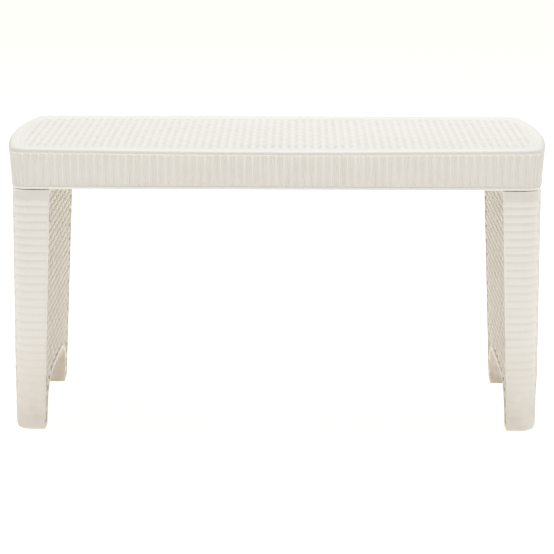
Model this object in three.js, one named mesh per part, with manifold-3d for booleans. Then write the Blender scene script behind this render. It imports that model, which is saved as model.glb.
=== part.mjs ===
// A backless garden bench in moulded plastic: a ribbed seat on two hollow, arched end frames.
// Millimetres, +Z up. The origin is on the floor under the middle of the seat; -Y is the front.
import * as THREE from "three";
import { mergeVertices } from "three/addons/utils/BufferGeometryUtils.js";
import Module from "manifold-3d";

const wasm = await Module();
wasm.setup();

// Seat moulding
const SEAT_LENGTH = 856; // over the bowed ends
const SEAT_DEPTH = 470;
const SEAT_HEIGHT = 450; // floor to sitting surface
const END_BOW = 20; // how far each end swells beyond its corners
const CORNER_RADIUS = 28;
const EDGE_ROUND = 9; // round between the top and the skirt
const SKIRT_HEIGHT = 63;
const SKIRT_TUCK = 4.5; // how far the skirt leans in from top to hem
const HEM_HEIGHT = 5;
const HEM_PROUD = 0.8;
const SEAT_WALL = 4;
const RIB_THICKNESS = 2.6;
const RIB_HEIGHT = 24;
const RIB_SPACING = 78; // the widest gap between stiffening ribs

// End frames
const SEAM_GAP = 1.2; // the dark line between skirt and leg
const SIDE_INSET_TOP = 5.5; // outer face of a frame behind the seat's outline, at the top
const SIDE_INSET_FOOT = 5.2;
const FACE_INSET_TOP = 5.2; // front and rear faces behind the seat's outline, at the top
const FACE_INSET_FOOT = 24;
const LEG_WIDTH_TOP = 52.6;
const LEG_WIDTH_FOOT = 40;
const FOOT_DEPTH = 48;
const FOOT_ROUND = 6;
const ARCH_HEIGHT = 72;
const ARCH_SQUARENESS = 4; // 2 is a half ellipse, more is squarer
const FRAME_WALL = 3.5;
const FRAME_RIB = 2.6;

// Inner covers
const COVER_THICKNESS = 3.5;
const COVER_CLEARANCE = 0.5; // all round, inside the frame's rim
const COVER_SCREW_LENGTH = 18;
const COVER_SCREW_RADIUS = 2;
const COVER_HEAD_RADIUS = 4;
const COVER_HEAD_HEIGHT = 2.4;
const SCREW_PAD_RADIUS = 7;
const SCREW_PAD_HEIGHT = 3;
const COVER_SCREW_DROP = 50; // upper screws below the top of the frame
const COVER_SCREW_RISE = 70; // lower screws above the floor

// Tenons and the sockets that take them
const TENON_WIDTH = 30;
const TENON_DEPTH = 42;
const TENON_HEIGHT = 38;
const TENON_WALL = 3;
const TENON_EDGE = 13; // from a frame's corner faces to its tenon
const SOCKET_CLEARANCE = 0.5;
const SOCKET_WALL = 3;

// Screws and washers that lock the tenons
const LOCK_SCREW_RADIUS = 2.5;
const LOCK_SCREW_LENGTH = 14;
const LOCK_HEAD_RADIUS = 5;
const LOCK_HEAD_HEIGHT = 3.4;
const WASHER_RADIUS = 7;
const WASHER_THICKNESS = 1.2;

// Glides
const GLIDE_RADIUS = 15;
const GLIDE_PROUD = 1.5; // below the foot
const GLIDE_SUNK = 2; // above the foot's underside
const STEM_RADIUS = 4.5;
const STEM_LENGTH = 12;

const HOLE_CLEARANCE = 0.4; // radial, round every screw shank and stem
const TOUCH_GAP = 0.3; // between faces that rest on each other
const BREAK_THROUGH = 5; // how far cutters and blanks run past what they cut

// How finely curves are faceted
const ARC_DIVISIONS = 4; // each arc of the outline gets twice as many edges
const ARCH_DIVISIONS = 44;
const ROUND_SIDES = 14;
const GLIDE_SIDES = 20;

const SKIRT_BOTTOM = SEAT_HEIGHT - SKIRT_HEIGHT;
const FRAME_TOP = SKIRT_BOTTOM - SEAM_GAP;
const TOP_UNDERSIDE = SEAT_HEIGHT - SEAT_WALL;
const COVER_BACK = COVER_THICKNESS + SCREW_PAD_HEIGHT;
const FAR = SEAT_LENGTH; // a length beyond every face of the bench

const plastic = (hex) => new THREE.MeshStandardMaterial({ color: hex, roughness: 0.5, metalness: 0 });
const steel = () => new THREE.MeshStandardMaterial({ color: 0xb9bcc0, roughness: 0.35, metalness: 1 });
const rubber = () => new THREE.MeshStandardMaterial({ color: 0xd8d4cb, roughness: 0.8, metalness: 0 });

// ---- solids ----

// A closed three.js geometry as a solid that can be joined and cut.
function solidOf(geometry, matrix = new THREE.Matrix4()) {
  const bare = geometry.clone().applyMatrix4(matrix);
  bare.deleteAttribute("normal");
  bare.deleteAttribute("uv");
  const merged = mergeVertices(bare, 1e-4);
  return new wasm.Manifold(
    new wasm.Mesh({
      numProp: 3,
      vertProperties: new Float32Array(merged.attributes.position.array),
      triVerts: new Uint32Array(merged.index.array),
    }),
  );
}

// The solid back as a geometry with flat faces.
function geometryOf(solid) {
  const mesh = solid.getMesh();
  const shared = new THREE.BufferGeometry();
  shared.setAttribute("position", new THREE.BufferAttribute(mesh.vertProperties, 3));
  shared.setIndex(new THREE.BufferAttribute(mesh.triVerts, 1));
  const flat = shared.toNonIndexed();
  flat.computeVertexNormals();
  return flat;
}

const at = (x, y, z) => new THREE.Matrix4().makeTranslation(x, y, z);

function box(x0, x1, y0, y1, z0, z1) {
  const geometry = new THREE.BoxGeometry(x1 - x0, y1 - y0, z1 - z0);
  return solidOf(geometry, at((x0 + x1) / 2, (y0 + y1) / 2, (z0 + z1) / 2));
}

// A cylinder along X, from x0 to x1.
function rodX(radius, x0, x1, y, z) {
  const turn = new THREE.Matrix4().makeRotationZ(Math.PI / 2);
  const place = at((x0 + x1) / 2, y, z).multiply(turn);
  return solidOf(new THREE.CylinderGeometry(radius, radius, x1 - x0, ROUND_SIDES), place);
}

// A cylinder along Z, from z0 to z1.
function rodZ(radius, x, y, z0, z1) {
  const turn = new THREE.Matrix4().makeRotationX(Math.PI / 2);
  const place = at(x, y, (z0 + z1) / 2).multiply(turn);
  return solidOf(new THREE.CylinderGeometry(radius, radius, z1 - z0, GLIDE_SIDES), place);
}

// ---- the plan outline ----

// A rectangle with bowed ends and round corners. Insets share the centres of all its arcs.
function planRing(halfLength, halfDepth, inset) {
  const endRadius = (halfDepth ** 2 + END_BOW ** 2) / (2 * END_BOW);
  const endCentre = halfLength - endRadius;
  const cornerY = halfDepth - CORNER_RADIUS;
  const cornerX = endCentre + Math.sqrt((endRadius - CORNER_RADIUS) ** 2 - cornerY ** 2);
  const reach = Math.atan2(cornerY, cornerX - endCentre);
  const cornerCurve = CORNER_RADIUS - inset;
  const shape = new THREE.Path();
  shape.absarc(cornerX, -cornerY, cornerCurve, -Math.PI / 2, -reach, false);
  shape.absarc(endCentre, 0, endRadius - inset, -reach, reach, false);
  shape.absarc(cornerX, cornerY, cornerCurve, reach, Math.PI / 2, false);
  const right = shape.getPoints(ARC_DIVISIONS);
  const left = right.map((p) => new THREE.Vector2(-p.x, -p.y));
  return [...right, ...left].filter((p, i, all) => p.distanceTo(all[(i + 1) % all.length]) > 1e-6);
}

// A solid through a stack of rings: each row is { z, halfLength, halfDepth, inset }, from the bottom up.
function loft(rows) {
  const rings = rows.map((row) => planRing(row.halfLength, row.halfDepth, row.inset));
  const count = rings[0].length;
  const position = rings.flatMap((ring, level) => ring.flatMap((p) => [p.x, p.y, rows[level].z]));
  const index = [];
  for (let level = 0; level + 1 < rings.length; level++) {
    for (let i = 0; i < count; i++) {
      const a = level * count + i;
      const b = level * count + ((i + 1) % count);
      index.push(a, b, b + count, a, b + count, a + count);
    }
  }
  const top = (rings.length - 1) * count;
  for (const [a, b, c] of THREE.ShapeUtils.triangulateShape(rings[0], [])) {
    index.push(a, c, b);
    index.push(top + a, top + b, top + c);
  }
  const geometry = new THREE.BufferGeometry();
  geometry.setAttribute("position", new THREE.Float32BufferAttribute(position, 3));
  geometry.setIndex(index);
  return solidOf(geometry);
}

// ---- seat moulding ----

const seatRow = (z, inset) => ({
  z,
  halfLength: SEAT_LENGTH / 2,
  halfDepth: SEAT_DEPTH / 2,
  inset,
});

// The skirt's inset at a height, leaning in from the edge round down to the hem.
function skirtInset(z) {
  const skirtTop = SEAT_HEIGHT - EDGE_ROUND;
  return (SKIRT_TUCK * (skirtTop - z)) / (skirtTop - SKIRT_BOTTOM);
}

function seatOutside() {
  const hemTop = SKIRT_BOTTOM + HEM_HEIGHT;
  const rows = [
    seatRow(SKIRT_BOTTOM, skirtInset(SKIRT_BOTTOM)),
    seatRow(SKIRT_BOTTOM + HEM_PROUD, skirtInset(SKIRT_BOTTOM) - HEM_PROUD),
    seatRow(hemTop - HEM_PROUD, skirtInset(hemTop) - HEM_PROUD),
    seatRow(hemTop, skirtInset(hemTop)),
  ];
  const steps = 5;
  for (let i = 0; i <= steps; i++) {
    const angle = (i / steps) * (Math.PI / 2);
    const z = SEAT_HEIGHT - EDGE_ROUND * (1 - Math.sin(angle));
    rows.push(seatRow(z, EDGE_ROUND * (1 - Math.cos(angle))));
  }
  return loft(rows);
}

function seatHollow() {
  return loft([
    seatRow(SKIRT_BOTTOM - BREAK_THROUGH, SKIRT_TUCK + SEAT_WALL),
    seatRow(TOP_UNDERSIDE - SEAT_WALL, EDGE_ROUND / 2 + SEAT_WALL),
    seatRow(TOP_UNDERSIDE, EDGE_ROUND + SEAT_WALL),
  ]);
}

// Even positions across a width, no further apart than the rib spacing.
function ribPlaces(width) {
  const bays = Math.ceil(width / RIB_SPACING);
  return Array.from({ length: bays - 1 }, (_, i) => ((i + 1) * width) / bays - width / 2);
}

function seatRibs() {
  const low = TOP_UNDERSIDE - RIB_HEIGHT;
  const half = RIB_THICKNESS / 2;
  const across = ribPlaces(SEAT_LENGTH).map((x) => box(x - half, x + half, -FAR, FAR, low, SEAT_HEIGHT));
  const along = ribPlaces(SEAT_DEPTH).map((y) => box(-FAR, FAR, y - half, y + half, low, SEAT_HEIGHT));
  return wasm.Manifold.union([...across, ...along]);
}

// ---- where the tenons stand ----

const FRAME_CORNER_X = SEAT_LENGTH / 2 - END_BOW - SIDE_INSET_TOP;
const FRAME_FACE_Y = SEAT_DEPTH / 2 - FACE_INSET_TOP;
const TENON_X = FRAME_CORNER_X - TENON_EDGE - TENON_WIDTH / 2;
const TENON_Y = FRAME_FACE_Y - TENON_EDGE - TENON_DEPTH / 2;
const LOCK_SCREW_Z = FRAME_TOP + TENON_HEIGHT / 2;
const SOCKET_INNER_X = TENON_X - TENON_WIDTH / 2 - SOCKET_CLEARANCE - SOCKET_WALL;

function socketBlock(sideX, sideY, grow) {
  const halfX = TENON_WIDTH / 2 + grow;
  const halfY = TENON_DEPTH / 2 + grow;
  const [x, y] = [sideX * TENON_X, sideY * TENON_Y];
  return [x - halfX, x + halfX, y - halfY, y + halfY];
}

function seatSolid() {
  const outside = seatOutside();
  const socketFoot = FRAME_TOP + TOUCH_GAP;
  let ribs = seatRibs();
  for (const sideX of [-1, 1]) {
    for (const sideY of [-1, 1]) {
      const outer = socketBlock(sideX, sideY, SOCKET_CLEARANCE + SOCKET_WALL);
      ribs = ribs.add(box(...outer, socketFoot, SEAT_HEIGHT));
    }
  }
  // Ribs and sockets join the shell, but never show outside it.
  const core = loft([seatRow(SKIRT_BOTTOM - BREAK_THROUGH, SKIRT_TUCK + SEAT_WALL / 2),
    seatRow(SEAT_HEIGHT - SEAT_WALL / 2, EDGE_ROUND + SEAT_WALL / 2)]);
  let seat = outside.subtract(seatHollow()).add(ribs.intersect(core));
  for (const sideX of [-1, 1]) {
    for (const sideY of [-1, 1]) {
      const inner = socketBlock(sideX, sideY, SOCKET_CLEARANCE);
      seat = seat.subtract(box(...inner, SKIRT_BOTTOM - BREAK_THROUGH, TOP_UNDERSIDE));
      const wallInside = sideX * (SOCKET_INNER_X - BREAK_THROUGH);
      const x = [wallInside, sideX * TENON_X].sort((a, b) => a - b);
      const holeRadius = LOCK_SCREW_RADIUS + HOLE_CLEARANCE;
      seat = seat.subtract(rodX(holeRadius, ...x, sideY * TENON_Y, LOCK_SCREW_Z));
    }
  }
  return seat;
}

// ---- end frame, drawn for the right-hand end ----

const mix = (foot, top, z) => foot + ((top - foot) * z) / FRAME_TOP;
const faceY = (z) => SEAT_DEPTH / 2 - mix(FACE_INSET_FOOT, FACE_INSET_TOP, z);
const innerX = (z) =>
  SEAT_LENGTH / 2 - END_BOW - mix(SIDE_INSET_FOOT + LEG_WIDTH_FOOT, SIDE_INSET_TOP + LEG_WIDTH_TOP, z);
const ARCH_HALF = faceY(0) - FOOT_DEPTH;

// The block that the frame is carved from, shrunk on every face by inset.
function frameBlank(inset) {
  const row = (z, shrink) => ({
    z,
    halfLength: SEAT_LENGTH / 2 - mix(SIDE_INSET_FOOT, SIDE_INSET_TOP, z),
    halfDepth: faceY(z),
    inset: shrink,
  });
  const rows = [];
  const steps = 3;
  for (let i = 0; i <= steps; i++) {
    const angle = (i / steps) * (Math.PI / 2);
    const z = GLIDE_PROUD + inset + FOOT_ROUND * (1 - Math.cos(angle));
    rows.push(row(z, inset + FOOT_ROUND * (1 - Math.sin(angle))));
  }
  rows.push(row(FRAME_TOP - inset, inset));
  return loft(rows);
}

// Everything outward of the slanting inner face, moved outward by shift.
function outwardOf(shift) {
  const [low, high] = [-BREAK_THROUGH, SEAT_HEIGHT];
  const profile = new THREE.Shape([
    new THREE.Vector2(innerX(low) + shift, low),
    new THREE.Vector2(FAR, low),
    new THREE.Vector2(FAR, high),
    new THREE.Vector2(innerX(high) + shift, high),
  ]);
  const geometry = new THREE.ExtrudeGeometry(profile, { depth: 2 * FAR, bevelEnabled: false });
  const turn = new THREE.Matrix4().makeRotationX(Math.PI / 2);
  return solidOf(geometry, at(0, FAR, 0).multiply(turn));
}

// The low arch between the feet, flat over the middle and round at its corners. It runs right
// through, and grow makes it larger all round.
function archCutter(grow) {
  const bent = (value) => Math.sign(value) * Math.abs(value) ** (2 / ARCH_SQUARENESS);
  const outline = Array.from({ length: ARCH_DIVISIONS }, (_, i) => {
    const angle = ((i + 0.5) / ARCH_DIVISIONS) * 2 * Math.PI;
    return new THREE.Vector2(
      (ARCH_HALF + grow) * bent(Math.cos(angle)), (ARCH_HEIGHT + grow) * bent(Math.sin(angle)));
  });
  const shape = new THREE.Shape(outline);
  const geometry = new THREE.ExtrudeGeometry(shape, { depth: FAR, bevelEnabled: false });
  const turn = new THREE.Matrix4().makeBasis(
    new THREE.Vector3(0, 1, 0), new THREE.Vector3(0, 0, 1), new THREE.Vector3(1, 0, 0));
  return solidOf(geometry, turn);
}

// Screw places on the cover: two high and two low, in the legs.
const coverScrewZ = [COVER_SCREW_RISE, FRAME_TOP - COVER_SCREW_DROP];
const coverScrewY = (z) => faceY(z) - FOOT_DEPTH / 2;
const glideX = () => innerX(0) + LEG_WIDTH_FOOT / 2;
const glideY = () => faceY(0) - FOOT_DEPTH / 2;

// Two upright ribs where the panel meets the legs, and a ledge above the arch.
function frameRibs() {
  const legEdge = ARCH_HALF + FRAME_WALL;
  const ledge = ARCH_HEIGHT + (FRAME_TOP - ARCH_HEIGHT) / 2;
  const uprights = [-1, 1].map((side) => {
    const y = [side * legEdge, side * (legEdge + FRAME_RIB)].sort((a, b) => a - b);
    return box(0, FAR, ...y, 0, SEAT_HEIGHT);
  });
  return wasm.Manifold.union([...uprights, box(0, FAR, -FAR, FAR, ledge, ledge + FRAME_RIB)]);
}

function tenonPieces(side) {
  const halfX = TENON_WIDTH / 2;
  const halfY = TENON_DEPTH / 2;
  const y = side * TENON_Y;
  const top = FRAME_TOP + TENON_HEIGHT;
  const outer = box(TENON_X - halfX, TENON_X + halfX, y - halfY, y + halfY, FRAME_TOP - FRAME_WALL, top);
  const [hollowX, hollowY] = [halfX - TENON_WALL, halfY - TENON_WALL];
  const floor = FRAME_TOP - FRAME_WALL - BREAK_THROUGH;
  const hollow = box(TENON_X - hollowX, TENON_X + hollowX, y - hollowY, y + hollowY, floor, top - TENON_WALL);
  const hole = rodX(LOCK_SCREW_RADIUS + HOLE_CLEARANCE, TENON_X - 2 * halfX, TENON_X, y, LOCK_SCREW_Z);
  return { outer, cut: hollow.add(hole) };
}

function frameSolid() {
  const blank = frameBlank(0);
  const hollow = frameBlank(FRAME_WALL).subtract(archCutter(FRAME_WALL));
  const body = blank.subtract(archCutter(0)).intersect(outwardOf(0));
  const inside = hollow.subtract(frameRibs().intersect(outwardOf(COVER_BACK + TOUCH_GAP)));
  let frame = body.subtract(inside);
  for (const z of coverScrewZ) {
    for (const side of [-1, 1]) {
      const y = side * coverScrewY(z);
      const boss = rodX(SCREW_PAD_RADIUS, innerX(z), FAR, y, z);
      frame = frame.add(boss.intersect(body).intersect(outwardOf(COVER_BACK + TOUCH_GAP)));
      const depth = COVER_SCREW_LENGTH + BREAK_THROUGH;
      frame = frame.subtract(rodX(COVER_SCREW_RADIUS + HOLE_CLEARANCE, innerX(z), innerX(z) + depth, y, z));
    }
  }
  for (const side of [-1, 1]) {
    const tenon = tenonPieces(side);
    frame = frame.add(tenon.outer).subtract(tenon.cut);
    const y = side * glideY();
    const seatTop = GLIDE_PROUD + GLIDE_SUNK;
    // The foot's floor is thickened round the glide's seat and stem.
    const pad = rodZ(GLIDE_RADIUS, glideX(), y, seatTop, seatTop + FRAME_WALL);
    frame = frame.add(pad);
    frame = frame.subtract(rodZ(GLIDE_RADIUS + HOLE_CLEARANCE, glideX(), y, 0, seatTop));
    frame = frame.subtract(rodZ(STEM_RADIUS + HOLE_CLEARANCE, glideX(), y, 0, seatTop + STEM_LENGTH));
  }
  return frame;
}

// ---- inner cover ----

function coverSolid() {
  const rim = frameBlank(FRAME_WALL + COVER_CLEARANCE).subtract(archCutter(FRAME_WALL + COVER_CLEARANCE));
  let cover = outwardOf(0).subtract(outwardOf(COVER_THICKNESS)).intersect(rim);
  for (const z of coverScrewZ) {
    for (const side of [-1, 1]) {
      const y = side * coverScrewY(z);
      const pad = rodX(SCREW_PAD_RADIUS, innerX(z), FAR, y, z).subtract(outwardOf(COVER_BACK));
      cover = cover.add(pad.intersect(outwardOf(0)));
      const headRoom = rodX(COVER_HEAD_RADIUS + HOLE_CLEARANCE, 0, innerX(z) + SCREW_PAD_HEIGHT, y, z);
      const hole = rodX(COVER_SCREW_RADIUS + HOLE_CLEARANCE, 0, FAR, y, z);
      cover = cover.subtract(headRoom).subtract(hole);
    }
  }
  return cover;
}

// ---- fasteners and glides ----

// A pan-headed screw on the X axis: its head's underside at 0, its shank towards +X.
function panScrew(headRadius, headHeight, shankRadius, length) {
  const profile = [
    new THREE.Vector2(0, -headHeight),
    new THREE.Vector2(headRadius * 0.6, -headHeight),
    new THREE.Vector2(headRadius * 0.92, -headHeight * 0.65),
    new THREE.Vector2(headRadius, -headHeight * 0.25),
    new THREE.Vector2(headRadius, 0),
    new THREE.Vector2(shankRadius, 0),
    new THREE.Vector2(shankRadius, length - shankRadius),
    new THREE.Vector2(0, length),
  ];
  return new THREE.LatheGeometry(profile, ROUND_SIDES).rotateZ(-Math.PI / 2);
}

function washer() {
  const bore = LOCK_SCREW_RADIUS + HOLE_CLEARANCE;
  const profile = [
    new THREE.Vector2(bore, 0),
    new THREE.Vector2(WASHER_RADIUS, 0),
    new THREE.Vector2(WASHER_RADIUS, WASHER_THICKNESS),
    new THREE.Vector2(bore, WASHER_THICKNESS),
    new THREE.Vector2(bore, 0),
  ];
  return new THREE.LatheGeometry(profile, ROUND_SIDES).rotateZ(-Math.PI / 2);
}

function glide() {
  const padTop = GLIDE_PROUD + GLIDE_SUNK - TOUCH_GAP;
  const profile = [
    new THREE.Vector2(0, 0),
    new THREE.Vector2(GLIDE_RADIUS - GLIDE_PROUD, 0),
    new THREE.Vector2(GLIDE_RADIUS, GLIDE_PROUD),
    new THREE.Vector2(GLIDE_RADIUS, padTop),
    new THREE.Vector2(STEM_RADIUS, padTop),
    new THREE.Vector2(STEM_RADIUS, padTop + STEM_LENGTH - 2 * TOUCH_GAP),
    new THREE.Vector2(0, padTop + STEM_LENGTH - TOUCH_GAP),
  ];
  return new THREE.LatheGeometry(profile, GLIDE_SIDES).rotateX(Math.PI / 2);
}

// ---- assembly ----

function piece(name, geometry, material, x = 0, y = 0, z = 0) {
  const mesh = new THREE.Mesh(geometry, material);
  mesh.name = name;
  mesh.position.set(x, y, z);
  return mesh;
}

const frameGeometry = geometryOf(frameSolid());
const coverGeometry = geometryOf(coverSolid());

// Both ends are the same moulding: the left one is the right one turned half round.
function endAssembly(end, turned) {
  const group = new THREE.Group();
  group.rotation.z = turned ? Math.PI : 0;
  group.add(piece(`end_frame_${end}`, frameGeometry, plastic(0xe6e1d8)));
  group.add(piece(`inner_cover_${end}`, coverGeometry, plastic(0xdcd6ca)));
  for (const side of [-1, 1]) {
    const place = side * (turned ? -1 : 1) < 0 ? "front" : "rear";
    group.add(piece(`foot_glide_${end}_${place}`, glide(), rubber(), glideX(), side * glideY(), 0));
    const washerX = SOCKET_INNER_X - TOUCH_GAP - WASHER_THICKNESS;
    const y = side * TENON_Y;
    group.add(piece(`lock_washer_${end}_${place}`, washer(), steel(), washerX, y, LOCK_SCREW_Z));
    const lockScrew = panScrew(LOCK_HEAD_RADIUS, LOCK_HEAD_HEIGHT, LOCK_SCREW_RADIUS, LOCK_SCREW_LENGTH);
    const headX = washerX - TOUCH_GAP;
    group.add(piece(`lock_screw_${end}_${place}`, lockScrew, steel(), headX, y, LOCK_SCREW_Z));
    coverScrewZ.forEach((z, i) => {
      const level = ["lower", "upper"][i];
      const screw = panScrew(COVER_HEAD_RADIUS, COVER_HEAD_HEIGHT, COVER_SCREW_RADIUS, COVER_SCREW_LENGTH);
      const x = innerX(z) + SCREW_PAD_HEIGHT - TOUCH_GAP;
      group.add(piece(`cover_screw_${end}_${place}_${level}`, screw, steel(), x, side * coverScrewY(z), z));
    });
  }
  return group;
}

const bench = new THREE.Group();
bench.add(piece("seat_moulding", geometryOf(seatSolid()), plastic(0xefece5)));
bench.add(endAssembly("right", false));
bench.add(endAssembly("left", true));

export default bench;
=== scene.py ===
# %% [markdown]
# # A garden bench in moulded plastic
#
# The bench is one long seat moulding on two arched end frames. Everything about it is injection
# moulded, and its look comes from fine relief: double reeds that run across the seat, stand round its
# skirt and are woven along the end frames. This lesson builds that relief as real geometry round a
# CAD frame that is loaded first and never changed.

# %% Load the frame
import math

import bmesh
import bpy
from mathutils import Matrix, Vector


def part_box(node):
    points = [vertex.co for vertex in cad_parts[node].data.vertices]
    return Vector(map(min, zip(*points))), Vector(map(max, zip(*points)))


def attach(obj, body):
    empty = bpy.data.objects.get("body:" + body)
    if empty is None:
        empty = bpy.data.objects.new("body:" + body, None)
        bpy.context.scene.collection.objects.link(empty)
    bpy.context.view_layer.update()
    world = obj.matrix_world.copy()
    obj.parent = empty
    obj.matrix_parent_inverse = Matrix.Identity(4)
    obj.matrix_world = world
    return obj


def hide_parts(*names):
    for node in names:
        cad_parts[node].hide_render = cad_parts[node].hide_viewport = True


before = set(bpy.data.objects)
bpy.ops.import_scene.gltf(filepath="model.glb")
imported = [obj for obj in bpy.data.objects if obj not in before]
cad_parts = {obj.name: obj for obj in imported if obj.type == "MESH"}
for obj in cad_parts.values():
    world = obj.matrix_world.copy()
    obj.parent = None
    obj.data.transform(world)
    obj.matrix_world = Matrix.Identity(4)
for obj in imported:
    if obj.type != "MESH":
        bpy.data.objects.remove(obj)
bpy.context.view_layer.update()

# %% [markdown]
# ## Sizes
#
# The overall sizes are read from the frame. The smaller ones are the moulder's own: how far the ends
# bow out, how thick the walls are, how wide a reed is. They are written once, in metres, and every
# piece below takes its place from them, so the pieces meet without being fitted by eye.

# %% Sizes of the mouldings
MM = 0.001
seat_low, seat_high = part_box("seat_moulding")

SEAT_LENGTH = seat_high.x - seat_low.x
SEAT_DEPTH = seat_high.y - seat_low.y
SEAT_TOP = seat_high.z
SKIRT_FOOT = seat_low.z
END_BOW = 20 * MM
CORNER_RADIUS = 28 * MM
EDGE_ROUND = 7 * MM
SKIRT_TUCK = 4.5 * MM  # how far the skirt leans in from top to hem
HEM_HEIGHT = 5 * MM
HEM_PROUD = 0.3 * MM
SEAT_WALL = 4 * MM

SEAM_GAP = 1.5 * MM  # the dark line between skirt and leg
SOLID_SEAM = 1.2 * MM  # the same seam in the CAD, from which tenons and screws are placed
FRAME_TOP = SKIRT_FOOT - SEAM_GAP
SIDE_INSET_TOP, SIDE_INSET_FOOT = 5.5 * MM, 5.2 * MM
FACE_INSET_TOP, FACE_INSET_FOOT = 5.2 * MM, 24 * MM
LEG_WIDTH_TOP, LEG_WIDTH_FOOT = 52.6 * MM, 40 * MM
FOOT_DEPTH, FOOT_ROUND, FOOT_LIFT = 48 * MM, 4.5 * MM, 1.5 * MM
ARCH_HEIGHT, ARCH_SQUARENESS = 72 * MM, 4
FRAME_WALL, COVER_GAP, COVER_THICKNESS = 3.5 * MM, 0.2 * MM, 3.5 * MM
print("seat", round(SEAT_LENGTH, 3), "x", round(SEAT_DEPTH, 3), "top at", round(SEAT_TOP, 3))

# %% Sizes of the relief
REED_PITCH = 12.2 * MM  # one strand of two reeds, side by side
REED_GAP = 0.4 * MM
TOP_RELIEF = 1.9 * MM
SKIRT_RELIEF, SKIRT_GROOVE = 1.5 * MM, 0.9 * MM
PANEL_RELIEF = 3.0 * MM
FACE_RELIEF = 0.1 * MM
STAKE_SPACING = 24.4 * MM  # strands pass over one stake and under the next
STAKE_WIDTH = 7 * MM
FRONT_BORDER, END_BORDER = 30 * MM, 13 * MM
PANEL_BORDER = 4 * MM
FRONT_DIP = 3.4 * MM  # the seat's front edge is lower in the middle

# %% [markdown]
# ## Small helpers
#
# A finished piece always goes through the same steps: a mesh from points and faces, normals turned
# outwards, smooth shading that stops at real corners, a material, and the call that makes it ride on
# the frame. Writing them once keeps the cells below short and all pieces alike.

# %% Helpers for meshes
SMOOTH_BELOW = math.radians(38)


def mesh_of(name, points, faces):
    mesh = bpy.data.meshes.new(name)
    mesh.from_pydata([tuple(p) for p in points], [], faces)
    outwards(mesh)
    return mesh


def outwards(mesh):
    work = bmesh.new()
    work.from_mesh(mesh)
    bmesh.ops.remove_doubles(work, verts=work.verts, dist=1e-7)
    bmesh.ops.recalc_face_normals(work, faces=work.faces)
    work.to_mesh(mesh)
    work.free()


def object_of(name, mesh):
    piece = bpy.data.objects.new(name, mesh)
    bpy.context.scene.collection.objects.link(piece)
    return piece


def evaluated_mesh(piece):
    graph = bpy.context.evaluated_depsgraph_get()
    return bpy.data.meshes.new_from_object(piece.evaluated_get(graph))


def triangles(mesh):
    return sum(len(face.vertices) - 2 for face in mesh.polygons)


def finish_piece(name, mesh, material, replaced=()):
    """Shades the mesh, gives it its material and lets it ride on the frame."""
    mesh.name = name
    mesh.materials.clear()
    mesh.materials.append(material)
    mesh.shade_smooth()
    mesh.set_sharp_from_angle(angle=SMOOTH_BELOW)
    piece = object_of(name, mesh)
    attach(piece, "root")
    if replaced:
        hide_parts(*replaced)
    print(f"{name}: {triangles(mesh)} triangles")
    return piece


# %% [markdown]
# ## The plan outline
#
# Seen from above, seat and frames share one outline: straight sides, round corners and gently bowed
# ends. Insets keep the centres of all its arcs, so a wall has the same thickness all the way round.
# The outline is drawn as its front half, from the middle of the left end to the middle of the right
# end, because the rear half is its mirror image. That pairing also gives an easy way to fill it: each
# front point is joined straight across to its partner at the rear.

# %% The outline as a ring of points
SIDE_STEPS, CORNER_STEPS, END_STEPS = 28, 8, 14


def front_half(half_length, half_depth, inset):
    end_radius = (half_depth**2 + END_BOW**2) / (2 * END_BOW)
    end_centre = half_length - end_radius
    corner_y = half_depth - CORNER_RADIUS
    corner_x = end_centre + math.sqrt((end_radius - CORNER_RADIUS) ** 2 - corner_y**2)
    reach = math.atan2(corner_y, corner_x - end_centre)
    right = [Vector((corner_x * i / SIDE_STEPS, inset - half_depth)) for i in range(SIDE_STEPS)]
    for i in range(CORNER_STEPS + 1):
        angle = -math.pi / 2 + (math.pi / 2 - reach) * i / CORNER_STEPS
        arm = Vector((math.cos(angle), math.sin(angle))) * (CORNER_RADIUS - inset)
        right.append(Vector((corner_x, -corner_y)) + arm)
    for i in range(1, END_STEPS + 1):
        angle = reach * (i / END_STEPS - 1)
        arm = Vector((math.cos(angle), math.sin(angle))) * (end_radius - inset)
        right.append(Vector((end_centre, 0)) + arm)
    return [Vector((-p.x, p.y)) for p in reversed(right[1:])] + right


def ring(half_length, half_depth, inset):
    front = front_half(half_length, half_depth, inset)
    return front + [Vector((p.x, -p.y)) for p in reversed(front[1:-1])]


RING_COUNT = len(ring(SEAT_LENGTH / 2, SEAT_DEPTH / 2, 0))


# %% A solid through a stack of rings
def stack(rows, across=10):
    """rows are (half_length, half_depth, inset, z). The first and the last ring are filled."""
    points = [Vector((p.x, p.y, row[3])) for row in rows for p in ring(*row[:3])]
    faces = []
    for level in range(len(rows) - 1):
        for i in range(RING_COUNT):
            a, b = level * RING_COUNT + i, level * RING_COUNT + (i + 1) % RING_COUNT
            faces.append((a, b, b + RING_COUNT, a + RING_COUNT))
    for start in (0, (len(rows) - 1) * RING_COUNT):
        fill(points, faces, start, across)
    return points, faces


def fill(points, faces, start, across):
    columns = []
    for k in range(RING_COUNT // 2 + 1):
        near, far = start + k, start + (RING_COUNT - k) % RING_COUNT
        if near == far:
            columns.append([near] * (across + 1))
            continue
        inner = range(len(points), len(points) + across - 1)
        points.extend(points[near].lerp(points[far], j / across) for j in range(1, across))
        columns.append([near, *inner, far])
    for one, other in zip(columns, columns[1:]):
        for j in range(across):
            corners = [one[j], other[j], other[j + 1], one[j + 1]]
            face = [c for i, c in enumerate(corners) if c != corners[i - 1]]
            faces.append(tuple(dict.fromkeys(face)))


print("points in one ring:", RING_COUNT)
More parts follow.
